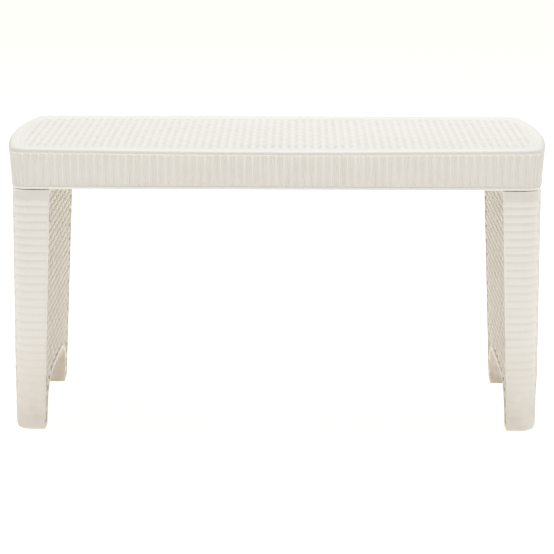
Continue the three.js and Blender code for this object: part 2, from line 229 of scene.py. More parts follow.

# %% [markdown]
# ## Shader groups
#
# Moulded plastic is not one flat colour. The steel mould leaves a fine satin grain, the melt cools
# with faint cloudy variation, the grooves are painted darker, partly as settled dust and partly as
# painted shade, and the crests that hands and clothes rub are a little cleaner and glossier. Each
# effect is a small group with named inputs, built once and placed in every plastic with its own values.

# %% Tools for building node groups
def add(tree, kind, **settings):
    node = tree.nodes.new(kind)
    for name, value in settings.items():
        setattr(node, name, value)
    return node


def feed(tree, source, target):
    """Links an output to an input, or sets the input to a plain value."""
    if isinstance(source, bpy.types.NodeSocket):
        tree.links.new(source, target)
    else:
        target.default_value = source


def maths(tree, operation, *values, clamp=False):
    node = add(tree, "ShaderNodeMath", operation=operation, use_clamp=clamp)
    for value, socket in zip(values, node.inputs):
        feed(tree, value, socket)
    return node.outputs[0]


def blend_colours(tree, share, first, second):
    node = add(tree, "ShaderNodeMix", data_type="RGBA")
    feed(tree, share, node.inputs[0])
    feed(tree, first, node.inputs[6])
    feed(tree, second, node.inputs[7])
    return node.outputs[2]


def noise(tree, place, scale, detail=2.0, roughness=0.5):
    node = add(tree, "ShaderNodeTexNoise", noise_dimensions="3D")
    feed(tree, place, node.inputs["Vector"])
    feed(tree, scale, node.inputs["Scale"])
    feed(tree, detail, node.inputs["Detail"])
    feed(tree, roughness, node.inputs["Roughness"])
    return node.outputs["Fac"]


def group(name, inputs, outputs, kind="ShaderNodeTree"):
    tree = bpy.data.node_groups.new(name, kind)
    for label, socket_type, value in inputs:
        socket = tree.interface.new_socket(label, in_out="INPUT", socket_type=socket_type)
        if value is not None:
            socket.default_value = value
    for label, socket_type in outputs:
        tree.interface.new_socket(label, in_out="OUTPUT", socket_type=socket_type)
    return tree, add(tree, "NodeGroupInput"), add(tree, "NodeGroupOutput")


FLOAT, COLOUR, VECTOR = "NodeSocketFloat", "NodeSocketColor", "NodeSocketVector"


# %% Moulded grain: a height for the bump and a change of gloss
def moulded_grain():
    tree, given, result = group(
        "moulded grain",
        [("Place", VECTOR, None), ("Grain", FLOAT, 900.0), ("Ripple", FLOAT, 26.0)],
        [("Height", FLOAT), ("Gloss change", FLOAT)],
    )
    fine = noise(tree, given.outputs["Place"], given.outputs["Grain"], 3.0, 0.6)
    ripple = noise(tree, given.outputs["Place"], given.outputs["Ripple"], 1.0)
    fine_part = maths(tree, "MULTIPLY", fine, 0.25)
    feed(tree, maths(tree, "ADD", fine_part, ripple), result.inputs["Height"])
    patches = noise(tree, given.outputs["Place"], 60.0, 4.0)
    feed(tree, maths(tree, "SUBTRACT", patches, 0.5), result.inputs["Gloss change"])
    return tree


# %% Cloudy colour: the melt varies a little across a large moulding
def cloudy_colour():
    tree, given, result = group(
        "cloudy colour",
        [
            ("Place", VECTOR, None), ("Colour", COLOUR, None), ("Paler", COLOUR, None),
            ("Cloud size", FLOAT, 6.0),
        ],
        [("Colour", COLOUR)],
    )
    cloud = noise(tree, given.outputs["Place"], given.outputs["Cloud size"], 3.0)
    share = maths(tree, "MULTIPLY_ADD", cloud, 2.0, -0.5, clamp=True)
    mixed = blend_colours(tree, share, given.outputs["Colour"], given.outputs["Paler"])
    feed(tree, mixed, result.inputs["Colour"])
    return tree


# %% Dust and painted shade: darker where a surface lies low in the relief, and duller from the dust
def dust_and_painted_shade():
    tree, given, result = group(
        "dust and painted shade",
        [
            ("Place", VECTOR, None), ("Colour", COLOUR, None), ("Shade and dust", COLOUR, None),
            ("Height", FLOAT, 1.0), ("Amount", FLOAT, 0.4),
        ],
        [("Colour", COLOUR), ("Shade and dust mask", FLOAT)],
    )
    # painted shade and dust: the lower a point lies in the relief, the darker and browner it is painted
    depth = maths(tree, "SUBTRACT", 1.0, given.outputs["Height"], clamp=True)
    patches = noise(tree, given.outputs["Place"], 35.0, 3.0)
    patchy = maths(tree, "MULTIPLY_ADD", patches, 1.2, 0.1, clamp=True)
    mask = maths(tree, "MULTIPLY", maths(tree, "POWER", depth, 1.5), patchy)
    share = maths(tree, "MULTIPLY", mask, given.outputs["Amount"], clamp=True)
    mixed = blend_colours(tree, share, given.outputs["Colour"], given.outputs["Shade and dust"])
    feed(tree, mixed, result.inputs["Colour"])
    feed(tree, share, result.inputs["Shade and dust mask"])
    return tree


grain_group, cloud_group, dust_shade_group = moulded_grain(), cloudy_colour(), dust_and_painted_shade()


# %% [markdown]
# ## The plastics
#
# The bench is ivory polypropylene: nearly white, a little warm, satin rather than glossy. All its
# mouldings use one recipe with slightly different colours, because seat, frames and covers come from
# different moulds and different batches; the covers are also painted darker and warmer, as painted
# shade for the inner faces under the seat. The relief stores how high each point stands in an attribute
# called `crest`; plain parts store 1, so the same recipe serves both. Low values are painted darker,
# partly as settled dust and partly as painted shade, and some pieces store low values only to paint shade.

# %% The recipe for moulded plastic
DUST_AND_SHADE_BROWN = (0.44, 0.37, 0.27, 1)
PLASTIC_IOR, STEEL_METALLIC = 1.49, 1.0
BUMP_STRENGTH = 0.6


def moulded_plastic(name, colour, paler, roughness, dust_shade_amount, grain_depth=0.06 * MM):
    material = bpy.data.materials.new(name)
    material.use_nodes = True
    tree = material.node_tree
    shader = tree.nodes["Principled BSDF"]
    place = add(tree, "ShaderNodeTexCoord").outputs["Object"]
    crest = add(tree, "ShaderNodeAttribute", attribute_name="crest").outputs["Fac"]

    cloud = add(tree, "ShaderNodeGroup", node_tree=cloud_group)
    feed(tree, place, cloud.inputs["Place"])
    cloud.inputs["Colour"].default_value = (*colour, 1)
    cloud.inputs["Paler"].default_value = (*paler, 1)

    dust_shade = add(tree, "ShaderNodeGroup", node_tree=dust_shade_group)
    feed(tree, place, dust_shade.inputs["Place"])
    feed(tree, cloud.outputs["Colour"], dust_shade.inputs["Colour"])
    feed(tree, crest, dust_shade.inputs["Height"])
    dust_shade.inputs["Shade and dust"].default_value = DUST_AND_SHADE_BROWN
    dust_shade.inputs["Amount"].default_value = dust_shade_amount
    feed(tree, dust_shade.outputs["Colour"], shader.inputs["Base Color"])

    grain = add(tree, "ShaderNodeGroup", node_tree=grain_group)
    feed(tree, place, grain.inputs["Place"])
    duller = maths(tree, "MULTIPLY_ADD", dust_shade.outputs["Shade and dust mask"], 0.5, roughness)
    varied = maths(tree, "MULTIPLY_ADD", grain.outputs["Gloss change"], 0.16, duller, clamp=True)
    feed(tree, varied, shader.inputs["Roughness"])
    bump = add(tree, "ShaderNodeBump")
    bump.inputs["Strength"].default_value = BUMP_STRENGTH
    bump.inputs["Distance"].default_value = grain_depth
    feed(tree, grain.outputs["Height"], bump.inputs["Height"])
    feed(tree, bump.outputs["Normal"], shader.inputs["Normal"])
    shader.inputs["IOR"].default_value = PLASTIC_IOR
    return material


seat_plastic = moulded_plastic("seat plastic", (0.81, 0.80, 0.77), (0.83, 0.822, 0.795), 0.5, 0.35)
frame_plastic = moulded_plastic("frame plastic", (0.84, 0.822, 0.785), (0.86, 0.845, 0.815), 0.5, 0.85)
# painted shade: the cover colour is darker and warmer than the frame's, for inner faces under the seat
shaded_cover_plastic = moulded_plastic("shaded cover plastic", (0.755, 0.728, 0.66), (0.775, 0.75, 0.685), 0.5, 0.85)
glide_plastic = moulded_plastic("glide plastic", (0.52, 0.50, 0.46), (0.60, 0.58, 0.53), 0.6, 0.5)


def zinc_plate():
    """Zinc-plated steel: cool grey, with the faint uneven bloom of the plating."""
    material = bpy.data.materials.new("zinc steel")
    material.use_nodes = True
    tree = material.node_tree
    shader = tree.nodes["Principled BSDF"]
    place = add(tree, "ShaderNodeTexCoord").outputs["Object"]
    bloom = noise(tree, place, 260.0, 4.0)
    colour = blend_colours(tree, bloom, (0.50, 0.51, 0.53, 1), (0.68, 0.68, 0.66, 1))
    feed(tree, colour, shader.inputs["Base Color"])
    shader.inputs["Metallic"].default_value = STEEL_METALLIC
    feed(tree, maths(tree, "MULTIPLY_ADD", bloom, 0.3, 0.22), shader.inputs["Roughness"])
    return material


zinc_steel = zinc_plate()
finishes = (seat_plastic, frame_plastic, shaded_cover_plastic, glide_plastic, zinc_steel)
print("materials:", [finish.name for finish in finishes])


# %% Plain surfaces stand at full height in the relief
def store_crest(mesh, height_of):
    values = mesh.attributes.new("crest", "FLOAT", "POINT")
    values.data.foreach_set("value", [height_of(v.co) for v in mesh.vertices])


def stand_high(mesh):
    store_crest(mesh, lambda place: 1.0)


# %% [markdown]
# ## The seat shell
#
# The seat is a tray turned upside down. Its top has a plain border round a sunken field, and the
# strands lie in that field. The edge is rounded, the skirt below it is sunk by the height of its
# reeds, and a small bead, the hem, finishes the bottom. One stack of rings describes all of it,
# outside and inside, from the middle of the field over the edge, round the hem and back up to the
# underside, so the shell is a single closed wall.

# %% Rings of the seat shell
skirt_top = SEAT_TOP - EDGE_ROUND


def skirt_inset(z):
    return SKIRT_TUCK * (skirt_top - z) / (skirt_top - SKIRT_FOOT)


FIELD_HALF_LENGTH = SEAT_LENGTH / 2 - END_BORDER
FIELD_HALF_DEPTH = SEAT_DEPTH / 2 - FRONT_BORDER
EDGE_STEPS = 10


def seat_rows():
    field = lambda inset, drop: (FIELD_HALF_LENGTH, FIELD_HALF_DEPTH, inset, SEAT_TOP - drop)
    edge = lambda inset, z: (SEAT_LENGTH / 2, SEAT_DEPTH / 2, inset, z)
    rows = [field(5 * MM, TOP_RELIEF), field(3 * MM, 1.2 * MM), field(1 * MM, 0.4 * MM)]
    rows.append(field(-0.5 * MM, 0.0))
    for i in range(EDGE_STEPS + 1):
        angle = math.pi / 2 * i / EDGE_STEPS
        drop = EDGE_ROUND * (1 - math.cos(angle))
        rows.append(edge(EDGE_ROUND * (1 - math.sin(angle)), SEAT_TOP - drop))
    for drop, share in ((1.0, 0.3), (2.5, 0.8), (4.0, 1.0)):
        z = skirt_top - drop * MM
        rows.append(edge(skirt_inset(z) + SKIRT_GROOVE * share, z))
    hem_top = SKIRT_FOOT + HEM_HEIGHT
    for rise, share in ((3.5, 1.0), (1.5, 0.7), (0.2, 0.4)):
        z = hem_top + rise * MM
        rows.append(edge(skirt_inset(z) + SKIRT_GROOVE * share, z))
    bead = skirt_inset(hem_top) - HEM_PROUD
    for inset, z in ((0.7, hem_top - 0.1 * MM), (0.2, hem_top - 0.4 * MM), (0.0, hem_top - 1.0 * MM)):
        rows.append(edge(bead + inset * MM, z))
    foot = skirt_inset(SKIRT_FOOT) - HEM_PROUD
    for inset, lift in ((0.0, 1.2), (0.25, 0.4), (0.9, 0.0)):
        rows.append(edge(foot + inset * MM, SKIRT_FOOT + lift * MM))
    inside = SKIRT_TUCK + SEAT_WALL
    rows.append(edge(inside - 0.4 * MM, SKIRT_FOOT))
    rows.append(edge(inside, SKIRT_FOOT + 0.4 * MM))
    underside = SEAT_TOP - SEAT_WALL
    rows.append(edge(EDGE_ROUND / 2 + SEAT_WALL, underside - SEAT_WALL))
    rows.append(edge(EDGE_ROUND / 2 + SEAT_WALL + 1.5 * MM, underside - 1.2 * MM))
    rows.append(edge(EDGE_ROUND + SEAT_WALL, underside))
    return rows


# %% The dip of the front edge
DIP_BAND, DIP_FADE = 16 * MM, 12 * MM  # how far below the top it begins, and where it is full


def ease(value):
    value = min(max(value, 0.0), 1.0)
    return value * value * (3 - 2 * value)


def dipped(place):
    """Lowers a point near the front edge: most in the middle, not at all at the ends or the rear."""
    along = max(0.0, 1 - (2 * place.x / SEAT_LENGTH) ** 2) ** 1.5
    forward = ease((-place.y / (SEAT_DEPTH / 2) - 0.25) / 0.7)
    upward = ease((place.z - (SEAT_TOP - DIP_BAND)) / DIP_FADE)
    return Vector((place.x, place.y, place.z - FRONT_DIP * along * forward * upward))


def dip_mesh(mesh):
    for vertex in mesh.vertices:
        vertex.co = dipped(vertex.co)


def make_seat_shell():
    points, faces = stack(seat_rows(), across=16)
    mesh = mesh_of("seat_shell", points, faces)
    field_floor = SEAT_TOP - TOP_RELIEF
    # the field's floor between the strands is painted darker, as dust and painted shade in the grooves
    store_crest(mesh, lambda p: 0.0 if abs(p.z - field_floor) < 1e-6 else 1.0)
    dip_mesh(mesh)
    return finish_piece("seat_shell", mesh, seat_plastic, ["seat_moulding"])


make_seat_shell()

# %% [markdown]
# ## Reeds that grow along guide lines
#
# All the relief is one idea: a strand of two half-round reeds, run along a line. Modelling hundreds
# of strands by hand, or displacing one huge grid, would be slow and heavy. Here a Geometry Nodes tree
# grows them instead. Python draws only bare guide lines. Each guide point stores which way is out of
# the surface (`lift`) and where its strand starts in the weave (`phase`). The tree resamples the
# line, waves it over and under the stakes, and sweeps the reed section along it.

# %% The section of a strand: two reeds with a crease between them
SECTION_POINTS = 11
CREASE = 0.6 * MM
ROUNDNESS = 0.5


def reed_section():
    tree = bpy.data.node_groups.new("reed section", "GeometryNodeTree")
    sizes = {"Width": REED_PITCH, "Thickness": TOP_RELIEF, "Crease": CREASE, "Roundness": ROUNDNESS}
    for label, value in sizes.items():
        socket = tree.interface.new_socket(label, in_out="INPUT", socket_type=FLOAT)
        socket.default_value = value
    tree.interface.new_socket("Section", in_out="OUTPUT", socket_type="NodeSocketGeometry")
    given, result = add(tree, "NodeGroupInput"), add(tree, "NodeGroupOutput")
    line = add(tree, "GeometryNodeCurvePrimitiveLine")
    fine = add(tree, "GeometryNodeResampleCurve")
    fine.inputs["Count"].default_value = SECTION_POINTS
    feed(tree, line.outputs[0], fine.inputs["Curve"])
    share = maths(tree, "DIVIDE", add(tree, "GeometryNodeInputIndex").outputs[0], SECTION_POINTS - 1.0)
    half_wave = maths(tree, "SINE", maths(tree, "MULTIPLY", share, math.pi))
    arch = maths(tree, "POWER", half_wave, given.outputs["Roundness"])
    off_middle = maths(tree, "ABSOLUTE", maths(tree, "SUBTRACT", share, 0.5))
    notch = maths(tree, "MULTIPLY_ADD", off_middle, -10.0, 1.0, clamp=True)
    arched = maths(tree, "MULTIPLY", arch, given.outputs["Thickness"])
    height = maths(tree, "SUBTRACT", arched, maths(tree, "MULTIPLY", notch, given.outputs["Crease"]))
    across = maths(tree, "MULTIPLY", maths(tree, "SUBTRACT", share, 0.5), given.outputs["Width"])
    place = add(tree, "ShaderNodeCombineXYZ")
    feed(tree, height, place.inputs["X"])
    feed(tree, across, place.inputs["Y"])
    shaped = add(tree, "GeometryNodeSetPosition")
    feed(tree, fine.outputs[0], shaped.inputs["Geometry"])
    feed(tree, place.outputs[0], shaped.inputs["Position"])
    closed = add(tree, "GeometryNodeSetSplineCyclic")
    closed.inputs["Cyclic"].default_value = True
    feed(tree, shaped.outputs[0], closed.inputs["Geometry"])
    feed(tree, closed.outputs[0], result.inputs["Section"])
    return tree


section_group = reed_section()


# %% The tree that waves and sweeps a strand
def named(tree, label, kind):
    node = add(tree, "GeometryNodeInputNamedAttribute", data_type=kind)
    node.inputs["Name"].default_value = label
    return node.outputs["Attribute"]


def strand_tree():
    inputs = [
        ("Guides", "NodeSocketGeometry", None), ("Width", FLOAT, REED_PITCH),
        ("Thickness", FLOAT, TOP_RELIEF), ("Crease", FLOAT, CREASE), ("Roundness", FLOAT, ROUNDNESS),
        ("Wave length", FLOAT, 2 * STAKE_SPACING), ("Wave height", FLOAT, 0.0),
        ("Step", FLOAT, 6 * MM), ("Material", "NodeSocketMaterial", None),
    ]
    tree, given, result = group(
        "strands along guides", inputs, [("Strands", "NodeSocketGeometry")], "GeometryNodeTree")
    line = add(tree, "GeometryNodeMeshToCurve")
    feed(tree, given.outputs["Guides"], line.inputs[0])
    lift = named(tree, "lift", "FLOAT_VECTOR")
    fine = add(tree, "GeometryNodeResampleCurve", mode="LENGTH")
    feed(tree, line.outputs[0], fine.inputs["Curve"])
    feed(tree, given.outputs["Step"], fine.inputs["Length"])
    upright = add(tree, "GeometryNodeSetCurveNormal", mode="FREE")
    feed(tree, fine.outputs[0], upright.inputs["Curve"])
    feed(tree, lift, upright.inputs["Normal"])

    apart = add(tree, "ShaderNodeSeparateXYZ")
    feed(tree, add(tree, "GeometryNodeInputPosition").outputs[0], apart.inputs[0])
    turns = maths(tree, "DIVIDE", apart.outputs["Y"], given.outputs["Wave length"])
    angle = maths(tree, "MULTIPLY_ADD", turns, 2 * math.pi, named(tree, "phase", "FLOAT"))
    rise = maths(tree, "MULTIPLY", maths(tree, "COSINE", angle), given.outputs["Wave height"])
    offset = add(tree, "ShaderNodeVectorMath", operation="SCALE")
    feed(tree, lift, offset.inputs[0])
    feed(tree, rise, offset.inputs["Scale"])
    waved = add(tree, "GeometryNodeSetPosition")
    feed(tree, upright.outputs[0], waved.inputs["Geometry"])
    feed(tree, offset.outputs[0], waved.inputs["Offset"])

    section = add(tree, "GeometryNodeGroup", node_tree=section_group)
    for label in ("Width", "Thickness", "Crease", "Roundness"):
        feed(tree, given.outputs[label], section.inputs[label])
    swept = add(tree, "GeometryNodeCurveToMesh")
    swept.inputs["Fill Caps"].default_value = True
    feed(tree, waved.outputs[0], swept.inputs["Curve"])
    feed(tree, section.outputs[0], swept.inputs["Profile Curve"])
    finish_tree(tree, swept.outputs[0], given, result)
    return tree


def finish_tree(tree, geometry, given, result):
    """Every tree ends alike: real geometry instead of instances, and its material."""
    real = add(tree, "GeometryNodeRealizeInstances")
    feed(tree, geometry, real.inputs[0])
    painted = add(tree, "GeometryNodeSetMaterial")
    feed(tree, real.outputs[0], painted.inputs["Geometry"])
    feed(tree, given.outputs["Material"], painted.inputs["Material"])
    feed(tree, painted.outputs[0], result.inputs[0])


strands_along_guides = strand_tree()


# %% Growing a tree on an object and keeping the plain mesh
def grow(carrier, tree, **values):
    modifier = carrier.modifiers.new("grow", "NODES")
    modifier.node_group = tree
    wanted = {label.replace("_", " ").capitalize(): value for label, value in values.items()}
    for item in tree.interface.items_tree:
        if item.in_out == "INPUT" and item.name in wanted:
            modifier[item.identifier] = wanted.pop(item.name)
    if wanted:
        raise ValueError(f"{tree.name} has no inputs named {sorted(wanted)}")
    mesh = evaluated_mesh(carrier)
    carrier.modifiers.clear()
    bpy.data.objects.remove(carrier)
    outwards(mesh)
    return mesh


def guide_object(name, lines):
    """lines are (points, lifts, phase): one guide line each."""
    points, edges, lifts, phases = [], [], [], []
    for line, line_lifts, phase in lines:
        first = len(points)
        points += [tuple(p) for p in line]
        lifts += line_lifts
        phases += [phase] * len(line)
        edges += [(first + i, first + i + 1) for i in range(len(line) - 1)]
    mesh = bpy.data.meshes.new(name)
    mesh.from_pydata(points, edges, [])
    lift = mesh.attributes.new("lift", "FLOAT_VECTOR", "POINT")
    lift.data.foreach_set("vector", [value for one in lifts for value in one])
    mesh.attributes.new("phase", "FLOAT", "POINT").data.foreach_set("value", phases)
    return object_of(name, mesh)


# %% [markdown]
# ## The woven field of the seat
#
# The strands run from front to rear. Under them, flat stakes run along the seat, and each strand
# passes over one stake and under the next, a step out of line with its neighbours. A strand's length
# depends on where it lies, because the field's ends are bowed: the guide asks the outline how deep
# the field is at that place. Its ends are buried in the border, as they merge on the real moulding.

# %% How deep and how long the field is at a place
def field_half_depth(x):
    outline = front_half(FIELD_HALF_LENGTH, FIELD_HALF_DEPTH, 0)
    for one, other in zip(outline, outline[1:]):
        if one.x <= x <= other.x:
            share = (x - one.x) / max(other.x - one.x, 1e-9)
            return -(one.y + (other.y - one.y) * share)
    return 0.0


def field_half_length(y):
    end_radius = (FIELD_HALF_DEPTH**2 + END_BOW**2) / (2 * END_BOW)
    return FIELD_HALF_LENGTH - end_radius + math.sqrt(end_radius**2 - y**2)


# %% Strands and stakes of the seat
UP = (0.0, 0.0, 1.0)
BURIED = 2.5 * MM  # how far a strand runs on into the border
TOP_WAVE = 0.3 * MM
TOP_CREASE = 0.25 * MM
SHORTEST_REACH = 3 * REED_PITCH
SEAT_STAKE_THICKNESS, STAKE_STEPS = 0.7 * MM, 24


def seat_strand_guides():
    count = 2 * int(FIELD_HALF_LENGTH / REED_PITCH) + 1
    base = SEAT_TOP - TOP_RELIEF - TOP_WAVE
    lines = []
    for i in range(count):
        x = (i - count // 2) * REED_PITCH
        outer_edge = min(abs(x) + REED_PITCH * 0.3, FIELD_HALF_LENGTH)
        reach = field_half_depth(outer_edge) + BURIED
        if reach > SHORTEST_REACH:
            lines.append(([(x, -reach, base), (x, reach, base)], [UP, UP], math.pi * i))
    return lines + end_strand_guides(base)


def end_strand_guides(base):
    """One strand follows each bowed end and covers the ends of the stakes."""
    inset = REED_PITCH / 2 - 1 * MM
    reach = FIELD_HALF_DEPTH - 1 * MM
    places = [reach * (i / 16 - 1) for i in range(33)]
    return [
        ([(side * (field_half_length(y) - inset), y, base) for y in places], [UP] * len(places), 0.0)
        for side in (-1, 1)
    ]


def stake_places(half_width):
    count = int(half_width / STAKE_SPACING)
    return [i * STAKE_SPACING for i in range(-count, count + 1)]


def seat_stake_guides():
    base = SEAT_TOP - TOP_RELIEF - 0.2 * MM
    lines = []
    for y in stake_places(FIELD_HALF_DEPTH - STAKE_WIDTH):
        reach = field_half_length(y) - 1 * MM
        line = [(reach * (2 * i / STAKE_STEPS - 1), y, base) for i in range(STAKE_STEPS + 1)]
        lines.append((line, [UP] * len(line), 0.0))
    return lines


def crest_by_depth(depth_of, relief):
    return lambda place: min(max(1 - depth_of(place) / relief, 0.0), 1.0)


def make_seat_weave():
    from_top = lambda place: SEAT_TOP - place.z
    strands = grow(
        guide_object("seat strand guides", seat_strand_guides()), strands_along_guides,
        width=REED_PITCH - REED_GAP, thickness=TOP_RELIEF, wave_height=TOP_WAVE, crease=TOP_CREASE,
        roundness=1.0, material=seat_plastic)
    stakes = grow(
        guide_object("seat stake guides", seat_stake_guides()), strands_along_guides,
        width=STAKE_WIDTH, thickness=SEAT_STAKE_THICKNESS, crease=0.0, step=36 * MM, material=seat_plastic)
    for name, mesh in (("seat_strands", strands), ("seat_stakes", stakes)):
        # strands and stakes are painted darker with depth, as dust and painted shade
        store_crest(mesh, crest_by_depth(from_top, TOP_RELIEF))
        print(name, "highest point below the seat top, in mm:",
              round(1000 * (SEAT_TOP - max(v.co.z for v in mesh.vertices)), 2))
        dip_mesh(mesh)
        finish_piece(name, mesh, seat_plastic)


make_seat_weave()

# %% [markdown]
# ## The skirt's reeds
#
# Round the skirt the same double reeds stand upright, side by side, all the way round. That is a
# pattern that follows a path, so the tree spreads points evenly along the outline, turns one short
# reed to face outwards at each and leans it with the skirt. The number of reeds is worked out from
# the outline's length, so that no reed is cut where the path closes.

# %% The tree that stands reeds round a path
def standing_reeds_tree():
    inputs = [
        ("Path", "NodeSocketGeometry", None), ("Count", "NodeSocketInt", 200), ("Low", FLOAT, 0.0),
        ("High", FLOAT, 0.05), ("Lean", FLOAT, 0.0), ("Width", FLOAT, REED_PITCH),
        ("Thickness", FLOAT, SKIRT_RELIEF), ("Crease", FLOAT, CREASE),
        ("Material", "NodeSocketMaterial", None),
    ]
    tree, given, result = group(
        "standing reeds", inputs, [("Reeds", "NodeSocketGeometry")], "GeometryNodeTree")
    path = add(tree, "GeometryNodeMeshToCurve")
    feed(tree, given.outputs["Path"], path.inputs[0])
    spread = add(tree, "GeometryNodeCurveToPoints", mode="COUNT")
    feed(tree, path.outputs[0], spread.inputs["Curve"])
    feed(tree, given.outputs["Count"], spread.inputs["Count"])

    foot, head = add(tree, "ShaderNodeCombineXYZ"), add(tree, "ShaderNodeCombineXYZ")
    feed(tree, given.outputs["Low"], foot.inputs["Z"])
    feed(tree, given.outputs["High"], head.inputs["Z"])
    feed(tree, maths(tree, "MULTIPLY", given.outputs["Lean"], -1.0), head.inputs["Y"])
    upright = add(tree, "GeometryNodeCurvePrimitiveLine")
    feed(tree, foot.outputs[0], upright.inputs["Start"])
    feed(tree, head.outputs[0], upright.inputs["End"])
    facing = add(tree, "GeometryNodeSetCurveNormal", mode="FREE")
    feed(tree, upright.outputs[0], facing.inputs["Curve"])
    facing.inputs["Normal"].default_value = (0, -1, 0)
    section = add(tree, "GeometryNodeGroup", node_tree=section_group)
    for label in ("Width", "Thickness", "Crease"):
        feed(tree, given.outputs[label], section.inputs[label])
    swept = add(tree, "GeometryNodeCurveToMesh")
    swept.inputs["Fill Caps"].default_value = True
    feed(tree, facing.outputs[0], swept.inputs["Curve"])
    feed(tree, section.outputs[0], swept.inputs["Profile Curve"])

    along = add(tree, "FunctionNodeAlignRotationToVector", axis="X", pivot_axis="Z")
    feed(tree, spread.outputs["Tangent"], along.inputs["Vector"])
    placed = add(tree, "GeometryNodeInstanceOnPoints")
    feed(tree, spread.outputs["Points"], placed.inputs["Points"])
    feed(tree, swept.outputs[0], placed.inputs["Instance"])
    feed(tree, along.outputs[0], placed.inputs["Rotation"])
    finish_tree(tree, placed.outputs[0], given, result)
    return tree


standing_reeds = standing_reeds_tree()


# %% Stand the reeds round the skirt
def closed_path(name, points):
    edges = [(i, (i + 1) % len(points)) for i in range(len(points))]
    mesh = bpy.data.meshes.new(name)
    mesh.from_pydata([tuple(p) for p in points], edges, [])
    return object_of(name, mesh)


SKIRT_CREASE = 1.4 * MM
SKIRT_SHADE_CREST = 0.35  # painted shade: the upright reeds are painted darker all over, as faces turned from the overhead light


def make_skirt_reeds():
    low, high = SKIRT_FOOT + HEM_HEIGHT - 0.8 * MM, skirt_top - 0.1 * MM
    root = skirt_inset(low) + SKIRT_RELIEF
    path = [Vector((p.x, p.y, 0)) for p in ring(SEAT_LENGTH / 2, SEAT_DEPTH / 2, root)]
    length = sum((a - b).length for a, b in zip(path, path[1:] + path[:1]))
    count = round(length / REED_PITCH)
    mesh = grow(
        closed_path("skirt path", path), standing_reeds, count=count, low=low, high=high,
        lean=skirt_inset(low) - skirt_inset(high), width=length / count,
        thickness=SKIRT_RELIEF, crease=SKIRT_CREASE, material=seat_plastic)
    # painted shade over the whole skirt, from the constant above
    store_crest(mesh, lambda place: SKIRT_SHADE_CREST)
    print("reeds round the skirt:", count)
    finish_piece("skirt_reeds", mesh, seat_plastic)


make_skirt_reeds()

# %% [markdown]
# ## Cutting and joining
#
# Frames and covers are carved the way they were designed: a tapering block, minus what lies inwards
# of the slanting inner face, minus the arch, minus the hollow. Exact booleans do the carving, on
# temporary objects that are removed at once.

# %% Tools for carving
def carved(mesh, tool, operation="DIFFERENCE"):
    body, cutter = object_of("body", mesh), object_of("cutter", tool)
    modifier = body.modifiers.new("carve", "BOOLEAN")
    modifier.operation, modifier.solver, modifier.object = operation, "EXACT", cutter
    result = evaluated_mesh(body)
    bpy.data.objects.remove(body)
    bpy.data.objects.remove(cutter)
    return result


def block(low, high):
    points = [(x, y, z) for x in (low[0], high[0]) for y in (low[1], high[1]) for z in (low[2], high[2])]
    faces = [(0, 1, 3, 2), (4, 6, 7, 5), (0, 4, 5, 1), (2, 3, 7, 6), (0, 2, 6, 4), (1, 5, 7, 3)]
    return mesh_of("block", points, faces)


def swept_outline(outline, place_of, start, stop):
    """Closes an outline into a solid: place_of(u, v, distance) gives each point."""
    count = len(outline)
    points = [place_of(u, v, distance) for distance in (start, stop) for u, v in outline]
    faces = [(i, (i + 1) % count, (i + 1) % count + count, i + count) for i in range(count)]
    faces += [tuple(range(count)), tuple(range(count, 2 * count))]
    return mesh_of("swept outline", points, faces)


def turned(profile, sides):
    """profile is (radius, along) pairs. The solid stands on the Z axis."""
    points, faces = [], []
    for radius, along in profile:
        for j in range(sides):
            angle = 2 * math.pi * j / sides
            points.append((radius * math.cos(angle), radius * math.sin(angle), along))
    for i in range(len(profile) - 1):
        for j in range(sides):
            a, b = i * sides + j, i * sides + (j + 1) % sides
            faces.append((a, b, b + sides, a + sides))
    return mesh_of("turned", points, faces)


def joined(meshes):
    work = bmesh.new()
    for mesh in meshes:
        work.from_mesh(mesh)
    result = bpy.data.meshes.new("joined")
    work.to_mesh(result)
    work.free()
    return result


def moved(mesh, matrix):
    copy = mesh.copy()
    copy.transform(matrix)
    return copy


def other_end(mesh):
    """The left end is the right end turned half round: one mould makes both."""
    return moved(mesh, Matrix.Rotation(math.pi, 4, "Z"))


# %% [markdown]
# ## Under the seat
#
# A flat moulding this long would sag, so its underside carries a grid of thin ribs, and near each
# corner a rectangular socket takes the tenon of a leg. Each rib is as long as the tray is wide at its
# place, and is cut away inside the sockets so that the tenons can enter.

# %% Where the tenons stand
RIB_THICKNESS, RIB_HEIGHT, RIB_SPACING = 2.6 * MM, 24 * MM, 78 * MM
TENON_WIDTH, TENON_DEPTH, TENON_HEIGHT = 30 * MM, 42 * MM, 38 * MM
TENON_WALL, TENON_EDGE = 3 * MM, 13 * MM
SOCKET_CLEARANCE, SOCKET_WALL = 0.5 * MM, 3 * MM
UNDERSIDE = SEAT_TOP - SEAT_WALL
TENON_X = SEAT_LENGTH / 2 - END_BOW - SIDE_INSET_TOP - TENON_EDGE - TENON_WIDTH / 2
TENON_Y = SEAT_DEPTH / 2 - FACE_INSET_TOP - TENON_EDGE - TENON_DEPTH / 2
CORNERS = [(x, y) for x in (-1, 1) for y in (-1, 1)]


def upright_block(side_x, side_y, grow, low, high):
    half_x, half_y = TENON_WIDTH / 2 + grow, TENON_DEPTH / 2 + grow
    x, y = side_x * TENON_X, side_y * TENON_Y
    return block((x - half_x, y - half_y, low), (x + half_x, y + half_y, high))


# %% Ribs and sockets
def rib_places(width):
    bays = math.ceil(width / RIB_SPACING)
    return [(i + 1) * width / bays - width / 2 for i in range(bays - 1)]


def tray_half_length(y):
    half_depth = SEAT_DEPTH / 2
    end_radius = (half_depth**2 + END_BOW**2) / (2 * END_BOW)
    inset = EDGE_ROUND / 2 + SEAT_WALL
    return SEAT_LENGTH / 2 - end_radius + math.sqrt((end_radius - inset) ** 2 - y**2)


